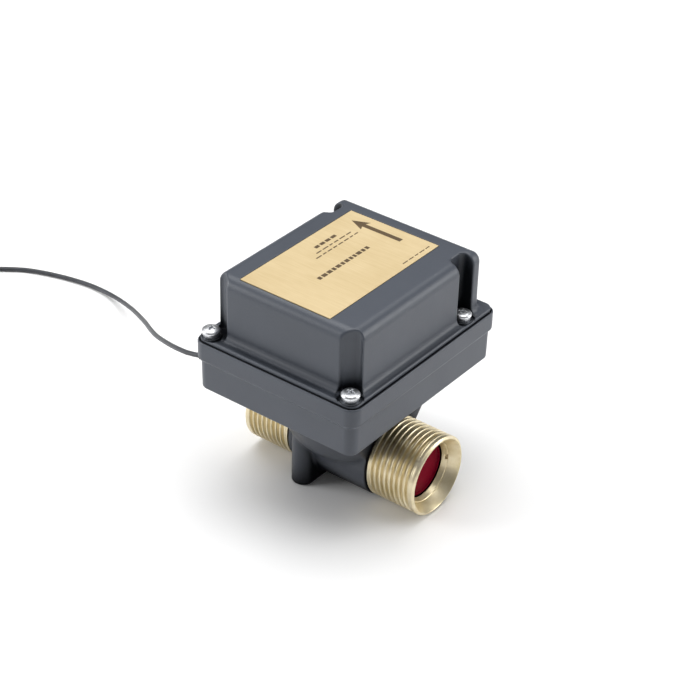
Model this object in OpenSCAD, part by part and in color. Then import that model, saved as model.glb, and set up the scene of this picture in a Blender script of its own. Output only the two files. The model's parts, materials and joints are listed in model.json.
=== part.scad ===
// In-line flow switch: a moulded electronics housing on a black valve body
// with two threaded brass ends, a hinged flap in the inlet and a thin signal lead.
// The pipe runs along X with the inlet at +X, Y runs across it and Z is up.
// The origin is on the standing surface, under the middle of the housing.

/* [Pipe] */
// Height of the pipe's centre line above the standing surface
axis_h = 17; // [16.8:0.1:20]
// Outside radius of the moulded pipe body
tube_r = 17; // [16.8:0.1:18]
// Crest radius of the inlet's pipe thread
inlet_crest_r = 16.62; // [16.6:0.01:16.64]
// Crest radius of the outlet's pipe thread, nearer the lower limit of its class
outlet_crest_r = 16.45; // [16.44:0.01:16.46]
// Pitch of the pipe thread
pitch = 2.309; // [2.3:0.001:2.32]
// Radius of the clear bore at each mouth
mouth_bore_r = 11.45; // [11:0.05:11.5]

/* [Housing] */
// Width of the housing's rim along X
rim_x = 77; // [76.5:0.1:78]
// Length of the housing's rim along Y
rim_y = 92.5; // [92:0.1:94]
// Height of the housing's underside above the surface
base_bottom = 46.75; // [46:0.05:48]
// Height of the rim's top edge above the surface
rim_top = 69.3; // [69:0.1:70]
// Height of the lid's top above the rim
lid_h = 26.6; // [25:0.1:28]
// Wall thickness of the mouldings
wall = 2.4; // [2:0.1:2.6]

/* [Label] */
// Label size along X
label_x = 42.2; // [38:0.1:44]
// Label size along Y
label_y = 67.4; // [60:0.1:68]

/* [Flap] */
// Radius of the flap disc
flap_r = 11.5; // [11.4:0.05:11.55]
// Thickness of the flap disc
flap_t = 2; // [1.5:0.1:2.2]

/* [Lead] */
// Outside diameter of the signal lead
lead_d = 2; // [1.8:0.1:2.2]

/* [Hidden] */
$fn = 64;
eps = 0.01;

// Housing positions
rim_r = 5;
rim_depth = 9.45;                // height of the thick rim band
rim_inset = 1.2;                 // step from the rim band in to the tray wall
tray_x = rim_x - 2 * rim_inset;
tray_y = rim_y - 2 * rim_inset;
tray_r = 4.2;
rim_wall = 0.8;                  // wall left round the lid's foot
lip_drop = 1.2;                  // from the lid's seating height down to that wall's top
foot_gap = 0.35;                 // dark gap between rim and lid foot
foot_x = rim_x - 2 * (rim_wall + foot_gap);
foot_y = rim_y - 2 * (rim_wall + foot_gap);
foot_r = rim_r - rim_wall - foot_gap;
seat_z = rim_top - 2.2;          // ledge inside the rim that carries the lid
gasket_t = 1;
gasket_nip = 0.2;                // how far the seated lid squeezes the gasket
gasket_w = 5;                    // from the rim's outside in to the gasket's inner edge
foot_bottom = seat_z + gasket_t - gasket_nip;
foot_top = rim_top + 0.6;
lid_x = 68;
lid_y = 79.8;
lid_edge_r = 4.8;
lid_top = rim_top + lid_h;
floor_z = base_bottom + wall;

// Lid screws stand at the foot of four square-backed channels: the front pair opens at the
// lid's corners, the back pair through its sides
screw_x = 33.2;
screw_y_front = -41.4;
screw_y_back = 29.1;
channel_half = 4.6;
channel_corner_r = 2.6;
channel_depth_front = 6;         // from the screw to the channel's back
channel_depth_back = 5.1;
channel_reach = 10;              // from the screw outward, past the lid's walls
shank_r = 1.5;
shank_l = 14;
screw_hole_r = 1.95;
screw_post_r = 4;
screw_posts = [for (x = [-1, 1], y = [screw_y_front, screw_y_back]) [x * screw_x, y]];
function channel_turn(p) = p[1] < 0 ? (p[0] > 0 ? -45 : -135) : (p[0] > 0 ? 0 : 180);
function channel_depth(p) = p[1] < 0 ? channel_depth_front : channel_depth_back;
label_pos = [-2.24, -2.2];
label_t = 0.4;
label_r = 0.6;
label_gap = 0.2;                 // all round the label in its recess
label_sink = 0.5;

// Pipe positions
inlet_end = 45.7;
outlet_end = -38;
body_front = 22.7;
body_back = -15;
spigot_r = 15.2;
spigot_l = 12.7;
chamber_r = 13;
foot_bar_x = -7.2;               // transverse foot bar under the neck
foot_bar_y = 16.8;
foot_bar_r = 4.6;
neck_x = 3.85;
neck_top_r = 33;
neck_mid_r = 31;
neck_mid_z = 34;
neck_low_r = 24;
neck_low_z = 22.3;
neck_root_z = 13;                // height where the neck runs into the pipe's sides
well_r = 15.5;
well_floor = 36.5;
seal_r = 16.7;
fix_r = 28;                      // pitch radius of the body screws
fix_angles = [75, 105, 255, 285];
fix_hole_r = 2.1;

// Thread form
thread_depth = 1.479;
crest_flat = 0.55;
groove_step = 0.92;

// O-ring grooves in the brass ends' spigots
groove_w = 2.5;
groove_depth = 1.1;
groove_in = 8.15;                // from the body's end face to the groove's middle

// Flap and its hinge
ring_x = 39.1;                   // back face of the retaining ring
ring_t = 2.2;
hinge = [34.7, 0, axis_h + 9.8];
rim_lip = 0.35;
disc_x = ring_x - 0.4 - rim_lip - flap_t;
flap_cut = 7.6;                  // height above the bore's axis where the disc is cut flat
pin_r = 0.8;
barrel_r = 1.5;
arm_y = 2.6;                     // from the middle to the middle of each hinge arm
arm_w = 2;
magnet_r = 2.6;
magnet_t = 2.2;
magnet_drop = -1;

// Reed switch across the dry well, above the flap's magnet
reed_x = neck_x + 9;
reed_z = well_floor + 4;
reed_wire_y = 10.5;

// Circuit board
board_z = 56;
board_t = 1.6;
board_pos = [1.5, 2];
board_size = [49, 62];
post_x = 20;
post_y = 27;
board_post_r = 2.6;
board_hole_r = 1.05;
terminal_y = -8;                 // middle of the terminal block
terminal_pitch = 7;

// Lead clamp inside the tray
clamp_x = -32;
clamp_l = 5;
clamp_w = 8;
clamp_screw_y = 2.6;
clamp_hole_r = 0.85;

// Lead route: round-number points from the clamp, out of the grommet, to the coil
lead_y = -33.5;
lead_z = 51;
route = [[-26.6, -33.5, 51], [-35, -33.5, 51], [-45.7, -33.5, 51], [-49, -33.7, 50.4],
    [-53, -33.4, 49.4], [-58, -31.8, 47.8], [-65, -28.6, 45], [-74, -23.6, 41], [-85, -16.5, 35.6],
    [-97, -7, 29], [-108, 2, 23], [-119, 10.5, 17.2], [-130, 18.5, 11.8], [-140, 25, 7.3],
    [-151, 30.6, 3.6], [-162, 33.6, 1.7], [-173, 34, 1.1], [-184, 32, 1.1], [-195, 28.8, 1.1],
    [-204, 25, 1.1], [-211, 20.2, 1.1], [-218, 14.8, 1.1], [-225, 9.6, 1.1], [-230, 6, 1.1]];
lead_r = lead_d / 2;
lead_sides = 8;
lead_end_x = route[0][0];
core_r = 0.4;
grommet_neck_r = 1.55;
grommet_l = 8.4;                 // from the tray wall to the grommet's tip
coil_centre = [-222, -5.4];
coil_mid_r = 12;
coil_band = 6;
coil_h = 9;

// A flat plate with round corners, centred on the origin
module round_plate(x, y, r, h) {
    linear_extrude(h) {
        square([x - 2 * r, y], center = true);
        square([x, y - 2 * r], center = true);
        for (i = [-1, 1], j = [-1, 1])
            translate([i * (x / 2 - r), j * (y / 2 - r)])
                circle(r);
    }
}

// A rod along X between two stations, on the pipe's centre line
module pipe_rod(x0, x1, r) {
    translate([x0, 0, axis_h])
        rotate([0, 90, 0])
            cylinder(h = x1 - x0, r = r, $fn = 96);
}

// A pan head with a crossed recess, its seat at z = 0
module pan_screw(head, tall, shank, depth) {
    difference() {
        union() {
            rotate_extrude()
                polygon([[0, 0], [head, 0], [head, tall * 0.4], [head * 0.86, tall * 0.75],
                    [head * 0.55, tall * 0.95], [0, tall]]);
            translate([0, 0, -depth])
                cylinder(h = depth + eps, r = shank);
        }
        for (a = [0, 90])
            rotate([0, 0, a])
                translate([-head * 0.55, -head * 0.12, tall * 0.45])
                    cube([head * 1.1, head * 0.24, tall]);
    }
}

// A tall pan head that widens upward from its flange, with a crossed recess, its seat at z = 0
module lid_screw() {
    top = 3.95;
    difference() {
        union() {
            rotate_extrude()
                polygon([[0, 0], [4, 0], [4, 0.6], [3.1, 0.6], [3.7, 2.2], [3.7, 2.8], [3.2, 3.4],
                    [2, 3.8], [0, top]]);
            translate([0, 0, -shank_l])
                cylinder(h = shank_l + eps, r = shank_r);
        }
        for (a = [0, 90])
            rotate([0, 0, a])
                translate([-2, -0.4, top - 1.4])
                    cube([4, 0.8, 2]);
    }
}

// Outer shape of the lid above the rim, with a round top edge
module lid_shape(inset, top, edge) {
    hull() {
        for (i = [-1, 1], j = [-1, 1])
            translate([i * (lid_x / 2 - inset - edge), j * (lid_y / 2 - inset - edge), 0]) {
                translate([0, 0, top - edge])
                    sphere(edge, $fn = 32);
                translate([0, 0, foot_bottom])
                    cylinder(h = 1, r = edge, $fn = 32);
            }
    }
}

// A lid channel round the screw at p, from low to high, with its walls moved out by grow
module screw_channel(p, grow, low, high) {
    half = channel_half + grow;
    depth = channel_depth(p) + grow;
    r = channel_corner_r + grow;
    translate([p[0], p[1], low])
        rotate([0, 0, channel_turn(p)])
            linear_extrude(high - low) {
                translate([r - depth, -half])
                    square([depth - r + channel_reach, 2 * half]);
                translate([-depth, r - half])
                    square([r + eps, 2 * (half - r)]);
                for (j = [-1, 1])
                    translate([r - depth, j * (half - r)])
                        circle(r);
            }
}

module lid() {
    color("#4a4e55")
        difference() {
            union() {
                lid_shape(0, lid_top, lid_edge_r);
                translate([0, 0, foot_bottom])
                    round_plate(foot_x, foot_y, foot_r, foot_top - foot_bottom);
            }
            difference() {
                lid_shape(wall, lid_top - wall, lid_edge_r - wall);
                for (p = screw_posts)
                    screw_channel(p, wall, foot_bottom - 1, lid_top + 1);
            }
            for (p = screw_posts) {
                screw_channel(p, 0, foot_top - eps, lid_top + 1);
                translate([p[0], p[1], rim_top])
                    cylinder(h = foot_top - rim_top + 1, r = channel_half);
                translate([p[0], p[1], foot_bottom - 1])
                    cylinder(h = 10, r = screw_hole_r);
            }
            translate([label_pos[0], label_pos[1], lid_top - label_sink])
                round_plate(label_x + 2 * label_gap, label_y + 2 * label_gap, label_r + label_gap, 2);
        }
}

module base() {
    color("#44484f")
        difference() {
            union() {
                translate([0, 0, base_bottom])
                    round_plate(tray_x, tray_y, tray_r, rim_top - base_bottom - rim_depth + eps);
                translate([0, 0, rim_top - rim_depth])
                    round_plate(rim_x, rim_y, rim_r, rim_depth - lip_drop);
            }
            // Room inside the tray, with the corner posts left standing
            difference() {
                translate([0, 0, floor_z])
                    round_plate(tray_x - 2 * wall, tray_y - 2 * wall, tray_r - wall, 40);
                for (p = screw_posts)
                    translate([p[0], p[1], floor_z - 1])
                        cylinder(h = seat_z - floor_z + 1, r = screw_post_r);
                for (i = [-1, 1], j = [-1, 1])
                    translate([board_pos[0] + i * post_x, board_pos[1] + j * post_y, floor_z - 1])
                        cylinder(h = board_z - floor_z + 1, r = board_post_r);
                translate([clamp_x - 0.5, lead_y - clamp_w / 2, floor_z - 1])
                    cube([clamp_l + 1, clamp_w, lead_z - lead_r - floor_z + 1]);
            }
            // Seat for the lid's foot
            translate([0, 0, seat_z])
                round_plate(rim_x - 2 * rim_wall, rim_y - 2 * rim_wall, rim_r - rim_wall, 10);
            for (p = screw_posts)
                translate([p[0], p[1], seat_z - 14])
                    cylinder(h = 20, r = shank_r);
            for (i = [-1, 1], j = [-1, 1])
                translate([board_pos[0] + i * post_x, board_pos[1] + j * post_y, floor_z + 0.5])
                    cylinder(h = 20, r = board_hole_r);
            for (j = [-1, 1])
                translate([clamp_x + clamp_l / 2, lead_y + j * clamp_screw_y, floor_z - 1.4])
                    cylinder(h = 5, r = clamp_hole_r);
            // Opening over the dry well, and holes for the body screws
            translate([neck_x, 0, base_bottom - 1])
                cylinder(h = 6, r = well_r);
            for (a = fix_angles)
                translate([neck_x + fix_r * cos(a), fix_r * sin(a), base_bottom - 1])
                    cylinder(h = 6, r = fix_hole_r);
            // Lead hole in the back wall
            translate([-rim_x / 2 - 1, lead_y, lead_z])
                rotate([0, 90, 0])
                    cylinder(h = 8, r = grommet_neck_r);
        }
}

module lid_gasket() {
    color("#1c1c1e")
        difference() {
            translate([0, 0, seat_z])
                round_plate(foot_x, foot_y, foot_r, gasket_t - gasket_nip);
            translate([0, 0, seat_z - 1])
                round_plate(rim_x - 2 * gasket_w, rim_y - 2 * gasket_w, 3, 5);
            for (p = screw_posts)
                translate([p[0], p[1], seat_z - 1])
                    cylinder(h = 5, r = screw_hole_r);
        }
}

module label() {
    color("#d9c48c")
        translate([label_pos[0], label_pos[1], lid_top - label_sink])
            round_plate(label_x, label_y, label_r, label_t);
}

module lid_screws() {
    color("#d5d8dc")
        for (p = screw_posts)
            translate([p[0], p[1], rim_top])
                lid_screw();
}

module circuit_board() {
    color("#1f5a3a")
        difference() {
            translate([board_pos[0], board_pos[1], board_z])
                round_plate(board_size[0], board_size[1], 2, board_t);
            for (i = [-1, 1], j = [-1, 1])
                translate([board_pos[0] + i * post_x, board_pos[1] + j * post_y, board_z - 1])
                    cylinder(h = 5, r = 1.6);
            for (j = [-1, 1])
                translate([reed_x, j * reed_wire_y, board_z - 1])
                    cylinder(h = 5, r = 0.7);
        }
}

module board_screws() {
    color("#b9bcc0")
        for (i = [-1, 1], j = [-1, 1])
            translate([board_pos[0] + i * post_x, board_pos[1] + j * post_y, board_z + board_t])
                pan_screw(2.6, 1.6, 1.05, 6);
}

module relay() {
    color("#22252a")
        translate([12, 12, board_z + board_t])
            union() {
                round_plate(16, 21, 0.8, 15);
                translate([0, 0, 15 - eps])
                    round_plate(14.6, 19.6, 0.8, 0.5);
            }
}

module terminal_block() {
    color("#2f6a4c")
        difference() {
            translate([-15, terminal_y, board_z + board_t])
                union() {
                    round_plate(9, 3 * terminal_pitch + 1, 0.5, 9);
                    translate([-2.5, 0, 0])
                        round_plate(9, 3 * terminal_pitch + 1, 0.5, 5);
                }
            for (k = [-1, 0, 1])
                translate([-14, terminal_y + terminal_pitch * k, board_z + board_t]) {
                    translate([0, 0, 5])
                        cylinder(h = 6, r = 2.1);
                    translate([-9, 0, 2.6])
                        rotate([0, 90, 0])
                            cylinder(h = 6, r = 1.3);
                }
        }
}

module terminal_screws() {
    color("#c9ccd0")
        for (k = [-1, 0, 1])
            translate([-14, terminal_y + terminal_pitch * k, board_z + board_t + 5])
                difference() {
                    cylinder(h = 3, r = 2);
                    translate([-2.5, -0.35, 2.2])
                        cube([5, 0.7, 2]);
                }
}

module capacitors() {
    color("#30353c")
        for (p = [[20, -14, 3.1, 11], [12, -16, 2.6, 9]])
            translate([p[0], p[1], board_z + board_t])
                rotate_extrude()
                    polygon([[0, 0], [p[2], 0], [p[2], 1.2], [p[2] - 0.25, 1.5], [p[2], 1.8],
                        [p[2], p[3] - 0.3], [p[2] - 0.3, p[3]], [0, p[3]]]);
}

module reed_holder() {
    color("#2a2d31")
        translate([reed_x - 3, 0, well_floor])
            difference() {
                union() {
                    translate([0, -9, 0])
                        cube([6, 18, 2]);
                    for (j = [-1, 1])
                        translate([0, j * 7 - 1.5, 0])
                            cube([6, 3, 4.6]);
                }
                translate([3 - 1.32, -10, 2.68])
                    cube([2.64, 20, 5]);
            }
}

module reed_switch() {
    color("#c3d6d2")
        translate([reed_x, -reed_wire_y, reed_z])
            rotate([-90, 0, 0])
                rotate_extrude()
                    polygon([[0, 0], [0.3, 0], [0.3, 1.6], [0.9, 2], [1.3, 2.6],
                        [1.3, 2 * reed_wire_y - 2.6], [0.9, 2 * reed_wire_y - 2],
                        [0.3, 2 * reed_wire_y - 1.6], [0.3, 2 * reed_wire_y], [0, 2 * reed_wire_y]]);
}

module reed_wires() {
    color("#b03a2e")
        for (j = [-1, 1])
            translate([reed_x, j * (reed_wire_y + 0.5), reed_z - 0.6])
                cylinder(h = board_z - reed_z + 0.6, r = 0.5);
}

module lead_clamp() {
    color("#2a2d31")
        difference() {
            translate([clamp_x, lead_y - clamp_w / 2, lead_z - lead_r])
                cube([clamp_l, clamp_w, 2 * lead_r + 1.2]);
            translate([clamp_x - 1, lead_y, lead_z])
                rotate([0, 90, 0])
                    cylinder(h = clamp_l + 2, r = lead_r + 0.02);
            translate([clamp_x - 1, lead_y - lead_r - 0.02, lead_z - 2 * lead_r])
                cube([clamp_l + 2, 2 * lead_r + 0.04, 2 * lead_r]);
            for (j = [-1, 1])
                translate([clamp_x + clamp_l / 2, lead_y + j * clamp_screw_y, lead_z - 3])
                    cylinder(h = 10, r = 0.95);
        }
}

module clamp_screws() {
    color("#b9bcc0")
        for (j = [-1, 1])
            translate([clamp_x + clamp_l / 2, lead_y + j * clamp_screw_y, lead_z + lead_r + 1.2])
                pan_screw(1.5, 1.1, 0.85, 5);
}

// A straight length of wire along one axis, from a to b, running on a little at its end
module wire_run(a, b, r) {
    v = b - a;
    translate(a)
        rotate([0, acos(v[2] / norm(v)), atan2(v[1], v[0])])
            cylinder(h = norm(v) + core_r * 0.7, r = r, $fn = 24);
}

// Three cores rise from the end of the lead and turn into the terminal block
module lead_cores() {
    top = board_z + board_t + 2.6;
    color("#7a1f1f")
        for (k = [-1, 0, 1]) {
            x = -24.6 - 0.9 * k;
            y0 = lead_y + 0.9 * k;
            y1 = terminal_y + terminal_pitch * k;
            wire_run([lead_end_x, y0, lead_z], [x, y0, lead_z], core_r * 0.9);
            wire_run([x, y0, lead_z], [x, y0, top], core_r);
            wire_run([x, y0, top], [x, y1, top], core_r * 0.95);
            wire_run([x, y1, top], [-20, y1, top], core_r * 0.9);
        }
}

module body_screws() {
    color("#b9bcc0")
        for (a = fix_angles)
            translate([neck_x + fix_r * cos(a), fix_r * sin(a), floor_z])
                pan_screw(3.6, 2.4, 1.75, 12);
}

module body_seal() {
    color("#1c1c1e")
        translate([neck_x, 0, base_bottom - 0.9])
            rotate_extrude($fn = 96)
                translate([seal_r, 0])
                    square([1.2, 0.9]);
}

module valve_body() {
    color("#36393f")
        difference() {
            union() {
                pipe_rod(body_back, body_front, tube_r);
                // Neck that widens up to the housing, flat in line with the pipe's end faces
                intersection() {
                    translate([neck_x, 0, 0])
                        rotate_extrude($fn = 96)
                            polygon([[0, neck_root_z], [tube_r - 2, neck_root_z],
                                [neck_low_r, neck_low_z], [neck_mid_r, neck_mid_z],
                                [neck_top_r, base_bottom], [0, base_bottom]]);
                    translate([body_back, -rim_y / 2, 0])
                        cube([body_front - body_back, rim_y, base_bottom]);
                }
                // Transverse foot bar with round ends, level with the pipe's underside
                translate([foot_bar_x, 0, 0]) {
                    for (j = [-1, 1])
                        translate([0, j * foot_bar_y, 0])
                            cylinder(h = base_bottom - 1, r = foot_bar_r);
                    translate([-foot_bar_r, -foot_bar_y, 0])
                        cube([2 * foot_bar_r, 2 * foot_bar_y, base_bottom - 1]);
                }
            }
            // Dry well for the reed switch
            translate([neck_x, 0, well_floor])
                cylinder(h = 20, r = well_r, $fn = 96);
            translate([neck_x, 0, base_bottom - 0.9])
                rotate_extrude($fn = 96)
                    translate([seal_r - 0.05, 0])
                        square([1.3, 2]);
            for (a = fix_angles)
                translate([neck_x + fix_r * cos(a), fix_r * sin(a), base_bottom - 11])
                    cylinder(h = 20, r = 1.8);
            // Waterway
            pipe_rod(body_back - 1, body_front + 1, chamber_r);
            pipe_rod(body_front - spigot_l - 0.1, body_front + 1, spigot_r + 0.05);
            pipe_rod(body_back - 1, body_back + spigot_l + 0.1, spigot_r + 0.05);
        }
}

// Outline of a threaded end in (distance from the body face, radius): plain shoulder,
// then one groove per turn, then a plain end land with a chamfer
function thread_outline(length, crest_r) = let(
    start = 1.6,
    turns = floor((length - start - 1.6) / pitch),
    root = crest_r - thread_depth)
    [for (k = [0 : turns - 1], q = [[0, crest_r], [groove_step, root], [groove_step + 0.1, root],
        [pitch - crest_flat, crest_r]])
        [start + k * pitch + q[0], q[1]]];

// A brass end: bore radii are set by the caller's cutters
module brass_end(length, crest_r) {
    rotate_extrude($fn = 96)
        polygon(concat([[0, -spigot_l], [spigot_r, -spigot_l], [spigot_r, 0.4], [crest_r, 0.9]],
            [for (q = thread_outline(length, crest_r)) [q[1], q[0]]],
            [[crest_r, length - 0.7], [crest_r - 0.8, length], [0, length]]));
}

// Cutter for the O-ring groove round a spigot, its middle at x
module ring_groove(x) {
    difference() {
        pipe_rod(x - groove_w / 2, x + groove_w / 2, spigot_r + 1);
        pipe_rod(x - groove_w, x + groove_w, spigot_r - groove_depth);
    }
}

module inlet_fitting() {
    color("#cfb35a")
        difference() {
            translate([body_front, 0, axis_h])
                rotate([0, 90, 0])
                    brass_end(inlet_end - body_front, inlet_crest_r);
            pipe_rod(-10, ring_x + ring_t + 0.1, chamber_r);
            translate([ring_x + ring_t, 0, axis_h])
                rotate([0, 90, 0])
                    rotate_extrude($fn = 96)
                        polygon([[0, 0], [chamber_r, 0], [15.3, 4.2], [15.3, 9], [0, 9]]);
            ring_groove(body_front - groove_in);
        }
}

module outlet_fitting() {
    color("#cfb35a")
        difference() {
            translate([body_back, 0, axis_h])
                rotate([0, -90, 0])
                    brass_end(body_back - outlet_end, outlet_crest_r);
            pipe_rod(outlet_end - 1, 10, mouth_bore_r);
            translate([outlet_end, 0, axis_h])
                rotate([0, 90, 0])
                    rotate_extrude($fn = 96)
                        polygon([[0, -1], [15.3, -1], [15.3, 0.6], [mouth_bore_r, 4.6], [0, 4.6]]);
            ring_groove(body_back + groove_in);
        }
}

// An O-ring lying in a spigot groove, squeezed flat against the body's bore
module spigot_o_ring(x) {
    translate([x, 0, axis_h])
        rotate([0, 90, 0])
            rotate_extrude($fn = 96)
                translate([spigot_r - groove_depth, -0.8])
                    square([groove_depth + 0.04, 1.6]);
}

module inlet_o_ring() {
    color("#1c1c1e")
        spigot_o_ring(body_front - groove_in);
}

module outlet_o_ring() {
    color("#1c1c1e")
        spigot_o_ring(body_back + groove_in);
}

module retaining_ring() {
    color("#c8ab52")
        difference() {
            pipe_rod(ring_x, ring_x + ring_t, chamber_r);
            pipe_rod(ring_x - 1, ring_x + ring_t + 1, mouth_bore_r);
            for (j = [-1, 1])
                translate([ring_x + ring_t - 1, j * (mouth_bore_r + 0.4) - 1.2, axis_h - 1])
                    cube([3, 2.4, 2]);
        }
}

module flap_carrier() {
    color("#2a2d31")
        difference() {
            union() {
                difference() {
                    pipe_rod(ring_x - 23.9, ring_x - 0.2, chamber_r - 0.05);
                    pipe_rod(ring_x - 25, ring_x + 1, 12.25);
                }
                intersection() {
                    pipe_rod(ring_x - 23, ring_x - 0.2, 12.5);
                    for (j = [-1, 1])
                        translate([hinge[0], j * 5.2 - 0.8, hinge[2]])
                            rotate([-90, 0, 0])
                                union() {
                                    cylinder(h = 1.6, r = 2);
                                    translate([-2, -4, 0])
                                        cube([4, 4, 1.6]);
                                }
                }
            }
            translate([hinge[0], -8, hinge[2]])
                rotate([-90, 0, 0])
                    cylinder(h = 16, r = pin_r);
        }
}

module flap() {
    color("#9c1230")
        difference() {
            union() {
                // Disc with a raised lip, cut flat under the hinge
                difference() {
                    union() {
                        pipe_rod(disc_x, disc_x + flap_t, flap_r);
                        difference() {
                            pipe_rod(disc_x + flap_t - eps, disc_x + flap_t + rim_lip, flap_r);
                            pipe_rod(disc_x, disc_x + 9, flap_r - 1.2);
                        }
                    }
                    translate([disc_x - 1, -20, axis_h + flap_cut])
                        cube([9, 40, 20]);
                }
                // Two arms up to the hinge barrels
                for (j = [-1, 1])
                    translate([hinge[0], j * arm_y - arm_w / 2, 0]) {
                        translate([0, 0, hinge[2]])
                            rotate([-90, 0, 0])
                                cylinder(h = arm_w, r = barrel_r);
                        translate([0, 0, axis_h + 4])
                            cube([disc_x - hinge[0] + 0.5, arm_w, hinge[2] - axis_h - 4]);
                    }
                // Magnet boss on the back
                pipe_boss(disc_x - 2.8, disc_x + 0.1, magnet_r + 0.8);
            }
            pipe_boss(disc_x - 4, disc_x - 0.4, magnet_r);
            translate([hinge[0], -8, hinge[2]])
                rotate([-90, 0, 0])
                    cylinder(h = 16, r = pin_r + 0.05);
        }
}

// A rod along X at the magnet's height
module pipe_boss(x0, x1, r) {
    translate([x0, 0, axis_h + magnet_drop])
        rotate([0, 90, 0])
            cylinder(h = x1 - x0, r = r);
}

module hinge_pin() {
    color("#c9ccd0")
        translate([hinge[0], -6, hinge[2]])
            rotate([-90, 0, 0])
                cylinder(h = 12, r = pin_r);
}

module flap_spring() {
    color("#b9bcc0") {
        translate([hinge[0], 0, hinge[2]])
            rotate([-90, 0, 0])
                rotate_extrude()
                    polygon(concat([[pin_r + 0.1, 0.9], [pin_r + 0.1, -0.9]],
                        [for (k = [-1 : 1], a = [-75 : 30 : 75])
                            [1.25 + 0.3 * cos(a), 0.6 * k + 0.3 * sin(a)]]));
        translate([hinge[0] - 6, 0.55, hinge[2] + 1.25])
            rotate([0, 90, 0])
                cylinder(h = 6, r = 0.3);
    }
}

module magnet() {
    color("#8d9096")
        pipe_boss(disc_x - 0.4 - magnet_t, disc_x - 0.4, magnet_r);
}

module lead_grommet() {
    color("#26282c")
        translate([-rim_x / 2 + rim_inset, lead_y, lead_z])
            rotate([0, 90, 0])
                difference() {
                    rotate_extrude()
                        polygon([[0, wall + 0.8], [1.8, wall + 0.8], [1.8, wall], [grommet_neck_r, wall],
                            [grommet_neck_r, 0], [2.6, 0], [2.6, -0.9], [1.8, -1.6],
                            [1.4, -grommet_l], [0, -grommet_l]]);
                    translate([0, 0, -20])
                        cylinder(h = 40, r = lead_r + 0.02);
                }
}

// Ring of points round one station of the lead, square to its direction
function unit(v) = v / norm(v);
function travel(i) = unit(route[min(i + 1, len(route) - 1)] - route[max(i - 1, 0)]);
function ring_points(i) = let(
    t = i == 0 ? [-1, 0, 0] : travel(i),
    side = unit(cross(t, [0, 0, 1])),
    up = cross(side, t))
    [for (k = [0 : lead_sides - 1])
        route[i] + lead_r * (cos(k * 360 / lead_sides) * side + sin(k * 360 / lead_sides) * up)];

module signal_lead() {
    rings = len(route);
    points = [for (i = [0 : rings - 1]) each ring_points(i)];
    sides = [for (i = [0 : rings - 2], k = [0 : lead_sides - 1])
        let(n = (k + 1) % lead_sides, a = i * lead_sides, b = a + lead_sides)
        [a + k, a + n, b + n, b + k]];
    first = [for (k = [lead_sides - 1 : -1 : 0]) k];
    last = [for (k = [0 : lead_sides - 1]) (rings - 1) * lead_sides + k];
    color("#2a2c30")
        polyhedron(points = points, faces = concat([first], sides, [last]));
}

module lead_coil() {
    color("#2a2c30")
        translate([coil_centre[0], coil_centre[1], 0.05])
            rotate_extrude($fn = 48)
                translate([coil_mid_r - coil_band / 2, 0])
                    square([coil_band, coil_h]);
}

module coil_tie() {
    color("#1c1c1e")
        translate([coil_centre[0], coil_centre[1] - coil_mid_r, 0])
            difference() {
                translate([-1.3, -coil_band / 2 - 0.9, 0])
                    cube([2.6, coil_band + 1.8, coil_h + 0.9]);
                translate([-2, -coil_band / 2 - 0.1, -1])
                    cube([4, coil_band + 0.2, coil_h + 1.1]);
            }
}

module lead_ends() {
    color("#b87333")
        for (k = [-1, 0, 1])
            translate([coil_centre[0] + 16 + k, coil_centre[1] - 6 - k, 0.7])
                rotate([90, 0, 12 * k])
                    cylinder(h = 9, r = 0.5);
}

lid();
base();
lid_gasket();
label();
lid_screws();
circuit_board();
board_screws();
relay();
terminal_block();
terminal_screws();
capacitors();
reed_holder();
reed_switch();
reed_wires();
lead_clamp();
clamp_screws();
lead_cores();
body_screws();
body_seal();
valve_body();
inlet_fitting();
outlet_fitting();
inlet_o_ring();
outlet_o_ring();
retaining_ring();
flap_carrier();
flap();
hinge_pin();
flap_spring();
magnet();
lead_grommet();
signal_lead();
lead_coil();
coil_tie();
lead_ends();
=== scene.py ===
import json
import math
import random
from itertools import product

import bpy
import numpy as np
from mathutils import Matrix, Vector


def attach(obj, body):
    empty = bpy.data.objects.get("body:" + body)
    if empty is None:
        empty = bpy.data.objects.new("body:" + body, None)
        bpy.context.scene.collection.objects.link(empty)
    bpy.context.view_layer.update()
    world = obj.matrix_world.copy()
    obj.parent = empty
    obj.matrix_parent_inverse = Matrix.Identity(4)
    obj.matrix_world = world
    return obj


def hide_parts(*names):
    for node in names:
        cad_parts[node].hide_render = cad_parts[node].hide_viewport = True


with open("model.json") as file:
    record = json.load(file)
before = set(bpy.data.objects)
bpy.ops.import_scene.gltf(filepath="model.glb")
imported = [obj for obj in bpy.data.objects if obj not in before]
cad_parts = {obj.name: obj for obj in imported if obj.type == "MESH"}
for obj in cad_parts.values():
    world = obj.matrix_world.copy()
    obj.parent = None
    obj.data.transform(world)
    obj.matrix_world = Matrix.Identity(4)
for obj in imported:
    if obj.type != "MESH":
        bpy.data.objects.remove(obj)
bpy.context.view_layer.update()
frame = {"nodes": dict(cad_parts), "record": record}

# Sizes below are in millimetres in the part's own frame: +X to the inlet end, +Z up, standing on z = 0.
MM = 0.001
HOUSING, FLAP_BODY = "housing", "flap_body"

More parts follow.
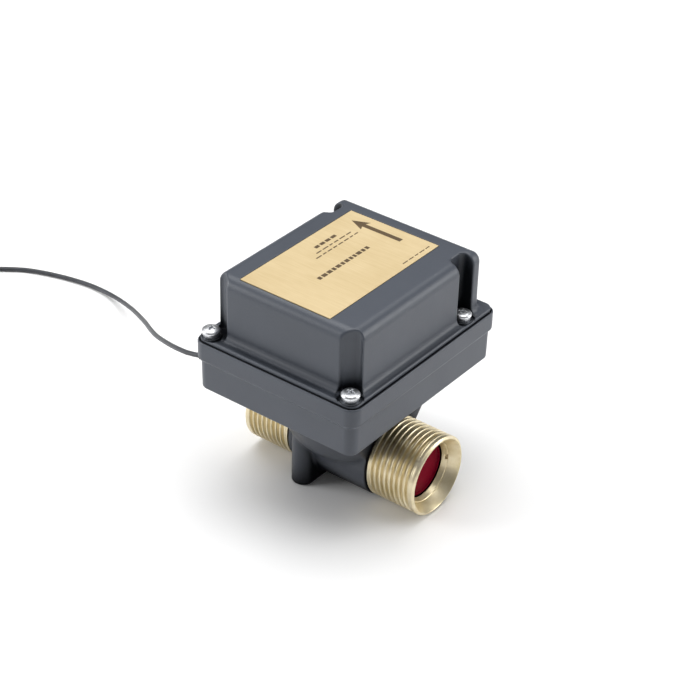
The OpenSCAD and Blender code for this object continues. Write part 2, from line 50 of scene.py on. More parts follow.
PIPE_Z = 17.0
RIM_TOP = 69.3
RIM_BOTTOM = 59.85
TRAY_BOTTOM = 46.75
LID_TOP = 95.9
LIP_TOP = 68.1
RIM = (38.5, 46.25, 5.0)
LID = (34.0, 39.9, 3.6)
FOOT = (37.35, 45.1, 3.85)
SCREWS = [(x, y) for x in (-33.2, 33.2) for y in (-41.4, 29.1)]
SCREW_TURNS = (0.3, -0.2, 0.1, 0.25)   # how far each cross recess is turned, in radians
CHANNEL = (4.6, 2.6, 6.0, 5.1, 12.0)   # half width, corner radius, depth in front and at the back, reach
LABEL_AT = (-2.24, -2.2)
LABEL = (21.1, 33.7)
BODY_BACK, BODY_FRONT = -15.0, 22.7
INLET_END, OUTLET_END = 45.7, -38.0
CREST_R = {"inlet": 16.62, "outlet": 16.45}
PITCH = 2.309
PIPE_R = 17.0
CHAMBER_R = 13.0
NECK_X = 3.85
FOOT_BAR = (-7.2, 16.8, 4.6)           # x of the bar across the pipe, its half length and its radius
RING_X = 39.1
RING_T = 2.2
BORE_R = 11.45
HINGE = (34.7, 0.0, PIPE_Z + 9.8)
GROMMET_TIP = (-45.7, -33.5, 51.0)


# Camera ---------------------------------------------------------------------------------------

def make_camera():
    azimuth, elevation, roll = (math.radians(a) for a in (37.02, 32.84, 1.54))
    distance = 774.7
    aim = Vector((0, -6.15, RIM_TOP))
    back = Vector((math.sin(azimuth) * math.cos(elevation),
                   -math.cos(azimuth) * math.cos(elevation), math.sin(elevation)))
    right = Vector((math.cos(azimuth), math.sin(azimuth), 0))
    up = back.cross(right)
    turned_right = right * math.cos(roll) + up * math.sin(roll)
    turned_up = up * math.cos(roll) - right * math.sin(roll)
    data = bpy.data.cameras.new("camera")
    data.sensor_width = 36
    data.lens = 104.5
    data.shift_x = 0.0175
    data.shift_y = -0.0317
    data.clip_start = 0.05
    data.clip_end = 20
    camera = bpy.data.objects.new("camera", data)
    bpy.context.collection.objects.link(camera)
    turn = Matrix((turned_right, turned_up, back)).transposed()
    camera.matrix_world = Matrix.Translation((aim + back * distance) * MM) @ turn.to_4x4()
    bpy.context.scene.camera = camera


make_camera()


# Node materials -------------------------------------------------------------------------------

class Paint:
    """A Principled material and short ways to feed its sockets."""

    def __init__(self, name, **sockets):
        self.mat = bpy.data.materials.new(name)
        self.mat.use_nodes = True
        self.tree = self.mat.node_tree
        self.shader = self.tree.nodes["Principled BSDF"]
        self.at = self.tree.nodes.new("ShaderNodeTexCoord").outputs["Object"]
        for key, value in sockets.items():
            self.shader.inputs[key.replace("_", " ")].default_value = value

    def node(self, kind, **inputs):
        made = self.tree.nodes.new(kind)
        for key, value in inputs.items():
            socket = made.inputs[key.replace("_", " ")]
            if hasattr(value, "is_output"):
                self.tree.links.new(value, socket)
            else:
                socket.default_value = value
        return made

    def link(self, output, key):
        self.tree.links.new(output, self.shader.inputs[key])

    def stretched(self, x, y, z):
        scaled = self.node("ShaderNodeMapping", Vector=self.at)
        scaled.inputs["Scale"].default_value = (x, y, z)
        return scaled.outputs["Vector"]

    def noise(self, scale, detail=3.0, rough=0.55, vector=None):
        made = self.node("ShaderNodeTexNoise", Vector=vector or self.at, Scale=scale, Detail=detail,
                         Roughness=rough)
        return made.outputs["Fac"]

    def ramp(self, fac, stops):
        made = self.node("ShaderNodeValToRGB", Fac=fac)
        line = made.color_ramp
        while len(line.elements) < len(stops):
            line.elements.new(0.5)
        for element, (place, colour) in zip(line.elements, stops):
            element.position = place
            element.color = (*colour, 1)
        return made.outputs["Color"]

    def painted_recess_shade(self, reach, darkest):
        """Painted shade from ambient occlusion: white in the open, down to darkest in corners and recesses up
        to reach metres wide.
        """
        open_sky = self.node("ShaderNodeAmbientOcclusion", Distance=reach)
        open_sky.samples = 8
        return self.ramp(open_sky.outputs["AO"], [(0.5, (darkest,) * 3), (0.84, (1, 1, 1))])

    def between(self, fac, low, high):
        made = self.node("ShaderNodeMapRange", Value=fac)
        made.inputs["To Min"].default_value = low
        made.inputs["To Max"].default_value = high
        return made.outputs["Result"]

    def bump(self, height, distance, strength=1.0, under=None):
        made = self.node("ShaderNodeBump", Height=height, Distance=distance, Strength=strength)
        if under is not None:
            self.tree.links.new(under, made.inputs["Normal"])
        return made.outputs["Normal"]


def linear(hex_colour):
    """A web colour as linear red, green and blue."""
    values = [int(hex_colour[i:i + 2], 16) / 255 for i in (1, 3, 5)]
    return tuple(v / 12.92 if v <= 0.04045 else ((v + 0.055) / 1.055) ** 2.4 for v in values)


def shade(colour, by):
    return tuple(min(1, c * by) for c in colour)


def moulded(name, colour, rough, grain=0.000018, gloss=0.5):
    """Moulded plastic: fine spark-eroded grain, slow colour drift, slightly uneven gloss and painted shade in
    corners and recesses.
    """
    tone = linear(colour)
    paint = Paint(name)
    drift = paint.ramp(paint.noise(28, 4), [(0.3, shade(tone, 0.93)), (0.7, shade(tone, 1.07))])
    # Painted shade from ambient occlusion: it darkens the colour and dims the gloss in corners, creases and
    # recesses.
    painted_shade = paint.painted_recess_shade(0.016, 0.1)
    painted_shade_applied = paint.node("ShaderNodeMixRGB", Fac=1.0, Color1=drift, Color2=painted_shade)
    painted_shade_applied.blend_type = "MULTIPLY"
    paint.link(painted_shade_applied.outputs["Color"], "Base Color")
    paint.link(paint.between(painted_shade, 0, gloss), "Specular IOR Level")
    smear = paint.noise(95, 5, 0.6, paint.stretched(1, 1.6, 0.8))
    paint.link(paint.between(smear, rough - 0.05, rough + 0.06), "Roughness")
    coarse = paint.bump(paint.noise(900, 2), grain * 2.2)
    paint.link(paint.bump(paint.noise(3200, 2), grain, 1, coarse), "Normal")
    return paint.mat


def turned_brass(name):
    """Turned brass: tool lines round the X axis, tarnish in patches and bright crests."""
    paint = Paint(name, Metallic=1.0, Anisotropic=0.25)
    lines = paint.noise(1, 2, 0.6, paint.stretched(5200, 60, 60))
    patches = paint.noise(160, 5, 0.65)
    paint.link(paint.ramp(patches, [(0.25, linear("#d3c49a")), (0.5, linear("#e2d5b4")),
                                    (0.8, linear("#efe6cc"))]), "Base Color")
    paint.link(paint.between(lines, 0.3, 0.44), "Roughness")
    paint.link(paint.bump(lines, 0.00002, 0.6), "Normal")
    return paint.mat


def plated_steel(name, colour="#dfe2e6", rough=0.2):
    paint = Paint(name, Metallic=1.0)
    patches = paint.noise(700, 4, 0.6)
    tone = linear(colour)
    paint.link(paint.ramp(patches, [(0.3, shade(tone, 0.82)), (0.7, tone)]), "Base Color")
    paint.link(paint.between(paint.noise(1500, 3), rough - 0.06, rough + 0.1), "Roughness")
    paint.link(paint.bump(paint.noise(2600, 2), 0.000006), "Normal")
    return paint.mat


def rubbery(name, colour="#17181a", rough=0.55):
    tone = linear(colour)
    paint = Paint(name, Sheen_Weight=0.15)
    paint.link(paint.ramp(paint.noise(240, 4), [(0.3, shade(tone, 0.8)), (0.75, shade(tone, 1.5))]),
               "Base Color")
    paint.link(paint.between(paint.noise(500, 3), rough - 0.08, rough + 0.1), "Roughness")
    paint.link(paint.bump(paint.noise(2200, 3), 0.00002), "Normal")
    return paint.mat


def film(name, low, high):
    """Printed polyester film: faint brushed lustre under a satin coat."""
    paint = Paint(name, Metallic=0.25, Coat_Weight=0.2, Coat_Roughness=0.35)
    lustre = paint.noise(1, 3, 0.6, paint.stretched(90, 1400, 90))
    cloud = paint.noise(45, 3)
    mixed = paint.node("ShaderNodeMath")
    mixed.operation = "ADD"
    paint.tree.links.new(paint.between(lustre, 0, 0.45), mixed.inputs[0])
    paint.tree.links.new(paint.between(cloud, 0, 0.55), mixed.inputs[1])
    paint.link(paint.ramp(mixed.outputs[0], [(0.25, linear(low)), (0.75, linear(high))]), "Base Color")
    paint.link(paint.between(lustre, 0.38, 0.52), "Roughness")
    paint.link(paint.bump(lustre, 0.000006), "Normal")
    return paint.mat


def clear_glass(name):
    paint = Paint(name, Transmission_Weight=0.85, IOR=1.5)
    paint.link(paint.between(paint.noise(300, 2), 0.03, 0.08), "Roughness")
    paint.link(paint.ramp(paint.noise(200, 2), [(0.3, (0.72, 0.84, 0.82)), (0.7, (0.85, 0.93, 0.9))]),
               "Base Color")
    return paint.mat


# Every moulded material carries painted shade in its corners and recesses.
MATERIALS = {
    "housing_plastic": moulded("housing_plastic", "#454a53", 0.38, 0.000012),
    "body_plastic": moulded("body_plastic", "#3c4048", 0.42, 0.00002),
    "brass": turned_brass("turned_brass"),
    "screw_steel": plated_steel("screw_steel", "#eceef1", 0.32),
    "flap_plastic": moulded("flap_plastic", "#7c0020", 0.45, 0.00001, 0.04),
    "label_film": film("label_film", "#cdb585", "#e2cda2"),
    "label_ink": film("label_ink", "#4a3a26", "#6a563a"),
    "seal_rubber": rubbery("seal_rubber"),
    "cable_jacket": rubbery("cable_jacket", "#34363b", 0.5),
    "dark_moulding": moulded("dark_moulding", "#2a2d31", 0.45, 0.00002),
    "board_laminate": moulded("board_laminate", "#1f5a3a", 0.3, 0.00001),
    "pale_glass": clear_glass("pale_glass"),
    "spring_steel": plated_steel("spring_steel", "#b9bcc0", 0.3),
    # On the washers this dark colour is painted shade round the screw heads in their pockets.
    "dull_steel": plated_steel("dull_steel", "#4a4d52", 0.45),
    "core_plastic": moulded("core_plastic", "#8a2a2a", 0.4),
    "copper": plated_steel("copper", "#c98a5a", 0.3),
}


# Solids from smooth distance fields -----------------------------------------------------------

def rounded_plan(x, y, half_x, half_y, r):
    """Distance to a rectangle with round corners."""
    out_x = np.abs(x) - half_x + r
    out_y = np.abs(y) - half_y + r
    outside = np.hypot(np.maximum(out_x, 0), np.maximum(out_y, 0))
    return outside + np.minimum(np.maximum(out_x, out_y), 0) - r


def meet(a, b, r):
    """What is in both a and b, the edge between them rounded to radius r."""
    corner = np.hypot(np.maximum(a + r, 0), np.maximum(b + r, 0))
    return np.minimum(np.maximum(a, b), -r) + corner


def join(a, b, r):
    """What is in a or b, with a fillet of radius r in the angle between them."""
    corner = np.hypot(np.maximum(r - a, 0), np.maximum(r - b, 0))
    return np.maximum(np.minimum(a, b), r) - corner


def cut(a, b, r):
    """What is in a but not in b, the new edges rounded to radius r."""
    return meet(a, -b, r)


def skin(name, field, lo, hi, cell):
    """A quad mesh on the zero surface of field(x, y, z), in millimetres, with the field's own normals."""
    axes = [np.arange(lo[k] - cell * 1.37, hi[k] + cell * 2, cell) for k in range(3)]
    value = field(*np.meshgrid(*axes, indexing="ij", sparse=True))
    inside = value < 0
    size = [len(a) - 1 for a in axes]
    count = np.zeros(size, int)
    for corner in product((0, 1), repeat=3):
        count += inside[tuple(slice(c, c + n) for c, n in zip(corner, size))]
    active = (count > 0) & (count < 8)
    index = np.full(size, -1)
    index[active] = np.arange(active.sum())
    cells = np.array(np.nonzero(active))
    total = np.zeros(cells.shape)
    hits = np.zeros(cells.shape[1])
    for axis in range(3):
        step = np.eye(3, dtype=int)[axis][:, None]
        for a, b in product((0, 1), repeat=2):
            start = np.zeros((3, 1), int)
            start[(axis + 1) % 3] = a
            start[(axis + 2) % 3] = b
            f0 = value[tuple(cells + start)]
            f1 = value[tuple(cells + start + step)]
            crossed = (f0 < 0) != (f1 < 0)
            share = np.where(crossed, f0 / np.where(crossed, f0 - f1, 1), 0)
            total += np.where(crossed, cells + start + step * share, 0)
            hits += crossed
    origin = np.array([a[0] for a in axes])[:, None]
    start = origin + cell * total / hits
    points = start
    lowest, highest = np.array(lo)[:, None], np.array(hi)[:, None]
    for _ in range(4):
        slope, here = gradient(field, points, cell * 0.1)
        move = here * slope / np.maximum((slope ** 2).sum(0), 0.05)
        points = np.clip(points - move, start - cell, start + cell)
        points = np.clip(points, lowest, highest)
    slope, _ = gradient(field, points, cell * 0.25)
    normals = slope / np.maximum(np.linalg.norm(slope, axis=0), 1e-6)
    return quad_mesh(name, points, normals, quads_of(inside, index))


def gradient(field, points, h):
    here = field(*points)
    slope = [(field(*(points + h * e)) - field(*(points - h * e))) / (2 * h)
             for e in np.eye(3)[:, :, None]]
    return np.array(slope), here


def quads_of(inside, index):
    """One face for each grid edge that the surface crosses."""
    faces = []
    for axis in range(3):
        u, v = (axis + 1) % 3, (axis + 2) % 3
        low = [slice(1, -1)] * 3
        low[axis] = slice(0, -1)
        high = list(low)
        high[axis] = slice(1, None)
        for near, flip in ((inside[tuple(low)] & ~inside[tuple(high)], False),
                           (~inside[tuple(low)] & inside[tuple(high)], True)):
            at = np.array(np.nonzero(near))
            at[u] += 1
            at[v] += 1
            ring = []
            for du, dv in ((-1, -1), (0, -1), (0, 0), (-1, 0)):
                place = at.copy()
                place[u] += du
                place[v] += dv
                ring.append(index[tuple(place)])
            faces.append(np.array(ring[::-1] if flip else ring).T)
    return np.concatenate(faces)


def quad_mesh(name, points, normals, faces):
    mesh = bpy.data.meshes.new(name)
    mesh.from_pydata((points.T * MM).tolist(), [], faces.tolist())
    mesh.polygons.foreach_set("use_smooth", [True] * len(mesh.polygons))
    if normals is not None:
        mesh.normals_split_custom_set_from_vertices(normals.T.tolist())
    return mesh


def place(name, mesh, slot, body=HOUSING, stands_for=(), look=None):
    """Shows a mesh or curve as a piece that rides on a body."""
    piece = bpy.data.objects.new(name, mesh)
    bpy.context.collection.objects.link(piece)
    mesh.materials.append(MATERIALS[look or slot])
    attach(piece, body)
    if stands_for:
        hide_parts(*stands_for)
    return piece


# The lead: route points as in the part's source ------------------------------------------------

LEAD_R = 1.0
ROUTE = [(-45.7, -33.5, 51), (-49, -33.7, 50.4),
         (-53, -33.4, 49.4), (-58, -31.8, 47.8), (-65, -28.6, 45), (-74, -23.6, 41), (-85, -16.5, 35.6),
         (-97, -7, 29), (-108, 2, 23), (-119, 10.5, 17.2), (-130, 18.5, 11.8), (-140, 25, 7.3),
         (-151, 30.6, 3.6), (-162, 33.6, 1.7), (-173, 34, 1.1), (-184, 32, 1.1), (-195, 28.8, 1.1),
         (-204, 25, 1.1), (-211, 20.2, 1.1), (-218, 14.8, 1.1), (-225, 9.6, 1.1), (-230, 6, 1.1)]
COIL_AT = (-222.0, -5.4)
COIL_R = (14.0, 12.0, 10.0)
COIL_LAYER_TURNS = 3.44
COIL_PITCH = 2.0
LEAD_LENGTH = 1000.0


def smooth_route(points, step):
    """The route's points joined by a smooth curve, sampled every step millimetres or so."""
    knots = [Vector(p) for p in points]
    knots = [knots[0] * 2 - knots[1]] + knots + [knots[-1] * 2 - knots[-2]]
    made = []
    for a, b, c, d in zip(knots, knots[1:], knots[2:], knots[3:]):
        parts = max(1, round((c - b).length / step))
        for i in range(parts):
            t = i / parts
            made.append(0.5 * (2 * b + (c - a) * t + (2 * a - 5 * b + 4 * c - d) * t * t
                               + (3 * b - 3 * c + d - a) * t ** 3))
    return made + [knots[-2]]


def coil_points(start_angle):
    """Nested helices that rise and fall in turn, wound from the outside in."""
    per_turn = 24
    made = []
    steps = round(per_turn * COIL_LAYER_TURNS)
    for layer, radius in enumerate(COIL_R):
        following = COIL_R[min(layer + 1, len(COIL_R) - 1)]
        for i in range(steps):
            done = i / steps
            angle = start_angle + math.tau * (layer * steps + i) / per_turn
            swap = max(0, (i - steps + 8) / 8)
            ease = swap * swap * (3 - 2 * swap)
            r = radius + (following - radius) * ease
            height = COIL_PITCH * COIL_LAYER_TURNS * (1 - done if layer % 2 else done)
            made.append(Vector((COIL_AT[0] + r * math.cos(angle), COIL_AT[1] + r * math.sin(angle),
                                1.1 + height)))
    return made


def length_of(points):
    return sum((b - a).length for a, b in zip(points, points[1:]))


def tube(name, points, radius):
    curve = bpy.data.curves.new(name, "CURVE")
    curve.dimensions = "3D"
    curve.bevel_depth = radius * MM
    curve.bevel_resolution = 5
    curve.use_fill_caps = True
    line = curve.splines.new("POLY")
    line.points.add(len(points) - 1)
    for spot, p in zip(line.points, points):
        spot.co = (p[0] * MM, p[1] * MM, p[2] * MM, 1)
    line.use_smooth = True
    return curve


def make_lead():
    visible = smooth_route(ROUTE, 4)
    last = Vector(ROUTE[-1])
    start_angle = math.atan2(last.y - COIL_AT[1], last.x - COIL_AT[0])
    points = visible + coil_points(start_angle)
    kept = [points[0]]
    for p in points[1:]:
        if length_of(kept) + (p - kept[-1]).length > LEAD_LENGTH:
            break
        kept.append(p)
    lead = place("lead_jacket", tube("lead_jacket", kept, LEAD_R), "cable_jacket",
                 stands_for=("signal_lead", "lead_coil"))
    return lead, kept


def bare_ends(lead_points):
    """Three stripped cores fan out of the lead's end, each with a bright tip."""
    end = lead_points[-1]
    ahead = (lead_points[-1] - lead_points[-3]).normalized()
    side = Vector((-ahead.y, ahead.x, 0))
    made = []
    for k, slot in ((-1, "core_plastic"), (0, "seal_rubber"), (1, "board_laminate")):
        path = [end + ahead * s + side * k * (0.55 + 0.018 * s * s) + Vector((0, 0, 0.02 * s * s * 0.6))
                for s in np.linspace(-1, 8, 10)]
        made.append(place(f"core_{k + 2}", tube(f"core_{k + 2}", path, 0.42), "core_plastic", look=slot))
        tip = [path[-1] + (path[-1] - path[-2]).normalized() * s for s in (-0.5, 1, 2.5, 3.5)]
        made.append(place(f"core_tip_{k + 2}", tube(f"core_tip_{k + 2}", tip, 0.26), "core_plastic",
                          look="copper"))
    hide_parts("lead_ends")
    return made


def tie_field(x, y, z):
    across = np.hypot(x - COIL_AT[0], y - COIL_AT[1]) - COIL_R[1]
    along = x - COIL_AT[0]
    outer = rounded_plan(across, z - 4.95, 4.1, 4.9, 1.8)
    inner = rounded_plan(across, z - 4.95, 3.2, 4.6, 1.2)
    band = cut(meet(outer, np.abs(along) - 1.3, 0.2), inner, 0.2)
    head = meet(rounded_plan(along, z - 5.0, 2.1, 2.4, 0.5), np.abs(across - 5.2) - 1.7, 0.4)
    return np.maximum(join(band, head, 0.3), y - COIL_AT[1])


lead, lead_points = make_lead()
cores = bare_ends(lead_points)
tie = place("lead_tie", skin("lead_tie", tie_field, (-225, -26, -0.6), (-219, -12, 11), 0.25),
            "dark_moulding", stands_for=("coil_tie",))


# Housing --------------------------------------------------------------------------------------

def channel_plan(x, y, sx, sy):
    """Distance to the plan of a screw channel: square-backed, and open outward past the lid."""
    half, r, front_depth, back_depth, reach = CHANNEL
    turn, depth = (math.radians(-45), front_depth) if sy < 0 else (0.0, back_depth)
    out = math.copysign(math.cos(turn), sx), math.sin(turn)
    along = (x - sx) * out[0] + (y - sy) * out[1]
    across = (y - sy) * out[0] - (x - sx) * out[1]
    return rounded_plan(along - (reach - depth) / 2, across, (reach + depth) / 2, half, r)


def lid_field(x, y, z):
    shell = meet(rounded_plan(x, y, *LID), z - LID_TOP, 4.8)
    foot = meet(rounded_plan(x, y, *FOOT), z - RIM_TOP - 0.4, 0.7)
    shape = join(shell, foot, 2.8)
    for sx, sy in SCREWS:
        pocket = np.maximum(np.hypot(x - sx, y - sy) - CHANNEL[0], RIM_TOP - z)
        slot = np.maximum(channel_plan(x, y, sx, sy), RIM_TOP + 0.6 - z)
        shape = cut(shape, np.minimum(pocket, slot), 0.6)
    recess = meet(rounded_plan(x - LABEL_AT[0], y - LABEL_AT[1], LABEL[0] + 0.2, LABEL[1] + 0.2, 0.8),
                  LID_TOP - 0.5 - z, 0.2)
    shape = cut(shape, recess, 0.3)
    return meet(shape, 67.4 - z, 0.3)


def base_field(x, y, z):
    rim = meet(meet(rounded_plan(x, y, *RIM), z - LIP_TOP, 0.6), RIM_BOTTOM - z, 1.1)
    inset = 1.2 + 0.15 * (RIM_BOTTOM - z) / (RIM_BOTTOM - TRAY_BOTTOM)
    tray = meet(rounded_plan(x, y, RIM[0] - inset, RIM[1] - inset, 4.2), TRAY_BOTTOM - z, 0.7)
    tray = np.maximum(tray, z - 62)
    shape = join(rim, tray, 1.0)
    seat = np.maximum(rounded_plan(x, y, RIM[0] - 0.85, RIM[1] - 0.85, RIM[2] - 0.85), 67.1 - z)
    return cut(shape, seat, 0.15)


place("lid_shell", skin("lid_shell", lid_field, (-38, -46, 67), (38, 46, 96), 0.5),
      "housing_plastic", stands_for=("lid",))
place("base_shell", skin("base_shell", base_field, (-39, -47, 46.5), (39, 47, 69), 0.5),
      "housing_plastic", stands_for=("base",))


def screw_field(x, y, z):
    """A flat-topped pan head that narrows to its washer, with a crossed recess."""
    r = np.hypot(x, y)
    dome = np.sqrt(r ** 2 + (z + 5.6) ** 2) - 9.65
    head = meet(meet(r - 3.15 - 0.3 * np.clip(z - 0.9, 0, 1.9), dome, 0.9), 0.4 - z, 0.1)
    for a, b in ((x, y), (y, x)):
        depth = np.maximum(z - 2.6, 0)
        slot = rounded_plan(a, b, 1.2 + 0.3 * depth, 0.26 + 0.08 * depth, 0.2)
        head = cut(head, np.maximum(slot, 2.6 - z), 0.12)
    return head


def washer_field(x, y, z):
    return meet(np.hypot(x, y) - 3.9, np.abs(z - 0.3) - 0.3, 0.2)


def make_screws():
    head_mesh = skin("pan_head", screw_field, (-4.2, -4.2, 0), (4.2, 4.2, 4.2), 0.16)
    washer_mesh = skin("washer", washer_field, (-4.2, -4.2, -0.2), (4.2, 4.2, 0.8), 0.16)
    # The washers take the dark dull_steel colour as painted shade round the screw heads.
    for kind, mesh, look in (("lid_screw", head_mesh, "screw_steel"), ("washer", washer_mesh, "dull_steel")):
        mesh.materials.append(MATERIALS[look])
        for n, (sx, sy) in enumerate(SCREWS):
            piece = bpy.data.objects.new(f"{kind}_{n + 1}", mesh)
            bpy.context.collection.objects.link(piece)
            piece.location = (sx * MM, sy * MM, RIM_TOP * MM)
            if mesh is head_mesh:
                piece.rotation_euler[2] = SCREW_TURNS[n]
            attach(piece, HOUSING)
    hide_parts("lid_screws")


make_screws()


# Label ----------------------------------------------------------------------------------------

LABEL_TOP = LID_TOP - 0.1
# Rows of dashes along Y: place across the label, start, end, thickness and dash length
PRINT_ROWS = [(-14, 2, 15, 1.5, 2.2), (-11, -1, 18, 0.6, 2.6), (-8.7, -4, 21, 0.6, 2.6),
              (1, -15, 15, 1.8, 2.0), (18.6, 14, 30, 0.5, 2.4)]


def prism(outlines, low, high):
    """Thin flat pieces from outlines in the label's plane."""
    points, faces = [], []
    for outline in outlines:
        n = len(outline)
        base = len(points)
        points += [(x, y, z) for z in (low, high) for x, y in outline]
        faces.append([base + i for i in reversed(range(n))])
        faces.append([base + n + i for i in range(n)])
        faces += [[base + i, base + (i + 1) % n, base + n + (i + 1) % n, base + n + i] for i in range(n)]
    mesh = bpy.data.meshes.new("flat_print")
    mesh.from_pydata([tuple(c * MM for c in p) for p in points], [], faces)
    return mesh


def bar(x0, y0, x1, y1):
    return [(x0, y0), (x1, y0), (x1, y1), (x0, y1)]


def label_print():
    """One arrow along the pipe and plain dashes in place of wording."""
    cx, cy = LABEL_AT
    arrow_y = cy + 27.6
    tip, tail = cx - 16.2, cx + 7.8
    outlines = [[(tip, arrow_y), (tip + 7, arrow_y - 3.2), (tip + 6, arrow_y - 1.1), (tail, arrow_y - 1.1),
                 (tail, arrow_y + 1.1), (tip + 6, arrow_y + 1.1), (tip + 7, arrow_y + 3.2)]]
    chance = random.Random(5)
    for x, start, end, thick, dash in PRINT_ROWS:
        y = start
        while y < end:
            length = dash * chance.uniform(0.7, 1.3)
            outlines.append(bar(cx + x - thick / 2, cy + y, cx + x + thick / 2, cy + y + length))
            y += length + dash * 0.35
    return outlines


label = place("label_film", prism([bar(LABEL_AT[0] - LABEL[0], LABEL_AT[1] - LABEL[1],
                                       LABEL_AT[0] + LABEL[0], LABEL_AT[1] + LABEL[1])],
                                  LID_TOP - 0.5, LABEL_TOP), "label_film", stands_for=("label",))
place("label_print", prism(label_print(), LABEL_TOP - 0.05, LABEL_TOP + 0.02), "label_film", look="label_ink")


# Valve body and brass ends --------------------------------------------------------------------

def body_field(x, y, z):
    ends = np.maximum(BODY_BACK - x, x - BODY_FRONT)
    from_axis = np.hypot(y, z - PIPE_Z)
    pipe = meet(from_axis - PIPE_R, ends, 0.5)
    r = np.hypot(x - NECK_X, y)
    wide = 24 + (z - 22.3) * 0.6
    upper = np.where(z > 34, 31 + (z - 34) * 0.157, wide)
    under = r - 15 - (z - 13) * 0.95
    neck = np.maximum(meet((r - upper) * 0.85, under * 0.7, 0.3), z - TRAY_BOTTOM)
    neck = meet(neck, ends, 0.6)
    bar_x, bar_half, bar_r = FOOT_BAR
    bar_plan = np.hypot(x - bar_x, np.maximum(np.abs(y) - bar_half, 0)) - bar_r
    foot = meet(bar_plan, -z, 1.0)
    foot = np.maximum(foot, z - TRAY_BOTTOM)
    shape = join(join(pipe, neck, 1.5), foot, 1.2)
    shape = np.maximum(np.maximum(shape, ends), np.maximum(-z, z - TRAY_BOTTOM))
    return cut(shape, from_axis - CHAMBER_R, 0.4)


place("valve_moulding", skin("valve_moulding", body_field, (-15, -34, 0), (22.7, 34, 46.8), 0.6),
      "body_plastic", stands_for=("valve_body",))


def thread_depth(along, angle, length):
    """How far the helical thread's surface lies under its crest."""
    phase = ((along / PITCH - angle / math.tau) % 1.0)
    ramp = np.clip((np.abs(2 * phase - 1) - 0.16) / 0.66, 0, 1)
    groove = ramp * ramp * (3 - 2 * ramp)
    start = np.clip((along - 1.4) / 1.2, 0, 1)
    stop = np.clip((length - 1.9 - along) / 0.8, 0, 1)
    return 1.35 * groove * start * stop


def threaded_end(name, face, end, crest, inner, stands_for):
    """A brass end: shoulder, helical thread, end land and a mouth whose outline is inner, as (x, r)."""
    way = 1 if end > face else -1
    length = abs(end - face)
    turns = 160
    outer = [(0.1, 15.2), (0.55, 15.2), (0.7, 15.6), (0.95, 16.5)]
    threaded = np.arange(1.2, length - 1.3, 0.11)
    stations = ([(s, r, False) for s, r in outer] + [(s, crest, True) for s in threaded]
                + [(length - 0.9, crest, False), (length - 0.6, crest - 0.05, False),
                   (length - 0.15, crest - 0.6, False), (length, crest - 0.85, False)]
                + [(s, r, False) for s, r in inner])
    along = np.array([s for s, _, _ in stations])
    radius = np.array([r for _, r, _ in stations])
    cutting = np.array([c for _, _, c in stations])
    angle = np.linspace(0, math.tau, turns, endpoint=False)
    depth = thread_depth(along[:, None], angle[None, :] * way, length) * cutting[:, None]
    r = radius[:, None] - depth
    points = np.array([np.broadcast_to((face + way * along)[:, None], r.shape).ravel(),
                       (r * np.cos(angle)).ravel(), (PIPE_Z + r * np.sin(angle)).ravel()])
    rows, faces = len(along), []
    for i in range(rows - 1):
        for j in range(turns):
            k = (j + 1) % turns
            quad = [i * turns + j, i * turns + k, (i + 1) * turns + k, (i + 1) * turns + j]
            faces.append(quad if way < 0 else quad[::-1])
    mesh = quad_mesh(name, points, None, np.array(faces))
    mesh.set_sharp_from_angle(angle=math.radians(38))
    return place(name, mesh, "brass", stands_for=stands_for)


INLET_L = INLET_END - BODY_FRONT
OUTLET_L = BODY_BACK - OUTLET_END
threaded_end("inlet_brass", BODY_FRONT, INLET_END, CREST_R["inlet"],
             [(INLET_L, 15.5), (INLET_L - 0.15, 15.35), (INLET_L - 4.3, 13.05), (INLET_L - 4.4, 13.0),
              (0.1, 13.0), (0.1, 15.2)], ("inlet_fitting",))
threaded_end("outlet_brass", BODY_BACK, OUTLET_END, CREST_R["outlet"],
             [(OUTLET_L, 15.5), (OUTLET_L - 0.15, 15.35), (OUTLET_L - 4.4, 11.5), (OUTLET_L - 4.6, BORE_R),
              (-12, BORE_R), (-12, 13.2), (0.1, 13.2), (0.1, 15.2)], ("outlet_fitting",))


# Flap, ring and their neighbours --------------------------------------------------------------

def ring_field(x, y, z):
    r = np.hypot(y, z - PIPE_Z)
    inner = 11.5 + 0.5 * (x - RING_X)
    ring = meet(np.maximum(r - 12.98, inner - r), np.abs(x - RING_X - RING_T / 2) - RING_T / 2, 0.2)
    slot = np.maximum(np.maximum(np.abs(z - PIPE_Z) - 1, RING_X + RING_T - 1 - x), 10.5 - np.abs(y))
    return cut(ring, slot, 0.15)


def flap_field(x, y, z):
    r = np.hypot(y, z - PIPE_Z)
    disc_x = RING_X - 2.75
    lip_x = RING_X - 0.4
    disc = meet(r - BORE_R, np.maximum(disc_x - x, x - lip_x), 0.35)
    dish = np.maximum(r - 10.3, lip_x - 0.35 - x)
    disc = cut(disc, dish, 0.3)
    disc = meet(disc, z - PIPE_Z - 7.6, 0.3)
    arm = np.abs(np.abs(y) - 2.6) - 1.0
    barrel = np.hypot(x - HINGE[0], z - HINGE[2]) - 1.5
    reach = np.maximum(np.maximum(HINGE[0] - x, x - disc_x - 0.6), np.abs(z - PIPE_Z - 6.9) - 2.9)
    arms = meet(np.minimum(barrel, reach), arm, 0.25)
    from_magnet = np.hypot(y, z - PIPE_Z + 1)
    boss = meet(from_magnet - 3.4, np.maximum(disc_x - 2.8 - x, x - disc_x - 0.5), 0.3)
    boss = cut(boss, np.maximum(from_magnet - 2.62, x - disc_x + 0.4), 0.15)
    shape = join(join(disc, arms, 0.4), boss, 0.4)
    return cut(shape, np.hypot(x - HINGE[0], z - HINGE[2]) - 0.86, 0.1)


place("lock_ring", skin("lock_ring", ring_field, (39, -13, 4), (41.4, 13, 30), 0.25), "brass",
      stands_for=("retaining_ring",))
place("flap_disc", skin("flap_disc", flap_field, (32.5, -11.6, 5.4), (39, 11.6, 29), 0.25),
      "flap_plastic", body=FLAP_BODY, stands_for=("flap",))


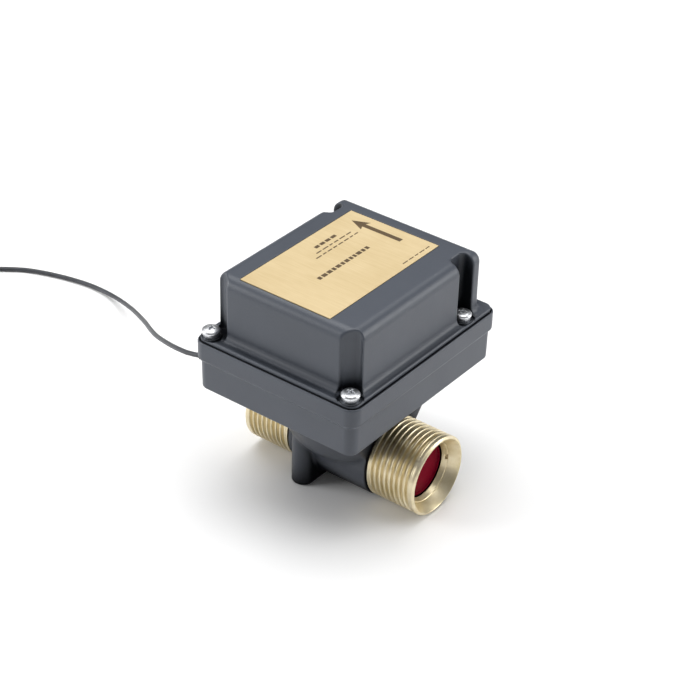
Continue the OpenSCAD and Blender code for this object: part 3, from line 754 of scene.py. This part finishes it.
def spring_wire():
    """Three turns round the hinge pin between two legs."""
    turn_r, half_width, wire_r, steps = 1.3, 0.9, 0.28, 72
    points = []
    for i in range(steps):
        a = math.tau * 3 * i / steps
        y = half_width * (2 * i / (steps - 1) - 1)
        points.append(Vector((HINGE[0] + turn_r * math.sin(a), y, HINGE[2] + turn_r * math.cos(a))))
    points = [points[0] + Vector((-5, -0.1, 0))] + points + [points[-1] + Vector((-4.5, 0.1, -0.6))]
    return tube("spring_wire", points, wire_r)


place("spring_wire", spring_wire(), "spring_steel", stands_for=("flap_spring",))


def grommet_mesh():
    """The lead's strain relief: a collar on the wall and a ribbed taper."""
    start, turns = -37.3, 48
    profile = [(0, 0), (0, 2.6), (0.2, 2.75), (0.8, 2.75), (1.0, 2.5)]
    for i in range(6):
        s = 1.2 + i * 1.08
        r = 2.15 - 0.12 * i
        profile += [(s, r), (s + 0.55, r), (s + 0.65, r - 0.4), (s + 0.95, r - 0.42)]
    profile += [(8.1, 1.42), (8.4, 1.3), (8.4, 1.02), (5, 1.02)]
    angle = np.linspace(0, math.tau, turns, endpoint=False)
    along = np.array([s for s, _ in profile])
    radius = np.array([r for _, r in profile])
    points = np.array([np.repeat(start - along, turns),
                       (GROMMET_TIP[1] + radius[:, None] * np.cos(angle)).ravel(),
                       (GROMMET_TIP[2] + radius[:, None] * np.sin(angle)).ravel()])
    faces = [[i * turns + j, i * turns + (j + 1) % turns, (i + 1) * turns + (j + 1) % turns,
              (i + 1) * turns + j] for i in range(len(profile) - 1) for j in range(turns)]
    mesh = quad_mesh("grommet", points, None, np.array(faces))
    mesh.set_sharp_from_angle(angle=math.radians(40))
    return mesh


place("strain_relief", grommet_mesh(), "seal_rubber", stands_for=("lead_grommet",))


# CAD nodes that stay get their slot's material --------------------------------------------------

def paint_kept_nodes():
    slots = {part["node"]: part["material_slot"] for part in frame["record"]["subparts"]}
    for name, node in frame["nodes"].items():
        if node.hide_render:
            continue
        node.data.materials.clear()
        node.data.materials.append(MATERIALS[slots[name]])


paint_kept_nodes()


# Floor and light ------------------------------------------------------------------------------

def make_stage():
    half = 3.0   # metres
    mesh = bpy.data.meshes.new("floor")
    mesh.from_pydata([(-half, -half, 0), (half, -half, 0), (half, half, 0), (-half, half, 0)], [],
                     [(0, 1, 2, 3)])
    floor = bpy.data.objects.new("floor", mesh)
    bpy.context.collection.objects.link(floor)
    paint = Paint("floor", Roughness=0.6)
    paint.link(paint.ramp(paint.noise(8, 3), [(0.3, (0.96, 0.96, 0.96)), (0.7, (0.97, 0.97, 0.97))]),
               "Base Color")
    mesh.materials.append(paint.mat)


def soft_light(name, at, side, watts, aim=(0, 0, 0.05)):
    """A square soft box, its side in metres, turned toward aim."""
    data = bpy.data.lights.new(name, "AREA")
    data.shape = "SQUARE"
    data.size = side
    data.energy = watts
    light = bpy.data.objects.new(name, data)
    bpy.context.collection.objects.link(light)
    light.location = at
    light.rotation_euler = (Vector(aim) - Vector(at)).to_track_quat("-Z", "Y").to_euler()


def make_light():
    """Boxes above and to both sides, and little light from where the object is seen."""
    bpy.context.scene.view_settings.view_transform = "Standard"
    world = bpy.data.worlds.new("room")
    bpy.context.scene.world = world
    world.use_nodes = True
    background = world.node_tree.nodes["Background"]
    background.inputs["Color"].default_value = (1, 1, 1, 1)
    background.inputs["Strength"].default_value = 0.2
    for name, at, side, watts in (("overhead", (-0.15, 0.15, 1.2), 1.3, 17),
                                  ("left_box", (-1.0, -0.75, 0.5), 0.7, 9),
                                  ("right_box", (0.95, 0.8, 0.5), 0.7, 7)):
        soft_light(name, at, side, watts)


make_stage()
make_light()
